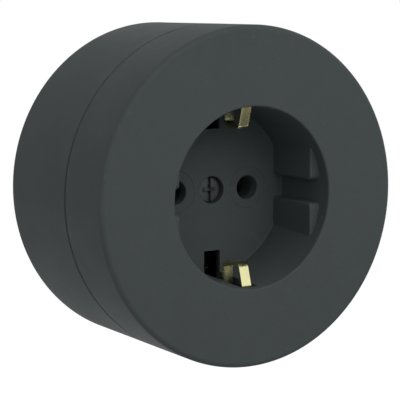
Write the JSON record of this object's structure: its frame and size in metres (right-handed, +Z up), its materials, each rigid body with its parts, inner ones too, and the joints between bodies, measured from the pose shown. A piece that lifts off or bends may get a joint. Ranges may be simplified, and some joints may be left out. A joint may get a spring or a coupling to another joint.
{
  "type": "surface-mounted earthed socket outlet",
  "caption": "Round surface-mounted earthed socket outlet: drum-shaped housing with a round recessed well, pin entries, side keyways and arched earth clips.",
  "frame": {"origin": "centre of the back face, on the wall", "axes": "+Z up as mounted, the face and its well look along -Y, +Y goes into the wall, +X is to the right seen from the front"},
  "size_m": [0.075, 0.043, 0.075],
  "materials": {
    "anthracite_plastic": "fine spark-eroded matt grain",
    "insulating_plastic": "black moulded resin",
    "fibre_washer": "pressed fibre",
    "brass": "rolled and stamped",
    "spring_brass": "bright rolled strip",
    "plated_steel": "zinc plated",
    "blackened_steel": "dark chromated steel"
  },
  "bodies": {
    "root": {"front_cover": "anthracite_plastic", "rear_base": "anthracite_plastic", "cover_screw": "blackened_steel", "screw_retainer": "fibre_washer", "cover_screw_bush": "brass", "contact_carrier": "insulating_plastic", "carrier_lid": "insulating_plastic", "right_pin_contact": "brass", "left_pin_contact": "brass", "earth_strap": "brass", "upper_earth_clip": "spring_brass", "lower_earth_clip": "spring_brass", "upper_clip_rivet": "brass", "lower_clip_rivet": "brass", "right_carrier_screw": "plated_steel", "left_carrier_screw": "plated_steel", "left_terminal_clamp": "plated_steel", "left_terminal_screw": "plated_steel", "left_terminal_nut": "plated_steel", "right_terminal_clamp": "plated_steel", "right_terminal_screw": "plated_steel", "right_terminal_nut": "plated_steel", "earth_terminal_clamp": "plated_steel", "earth_terminal_screw": "plated_steel", "earth_terminal_nut": "plated_steel"}
  },
  "joints": []
}
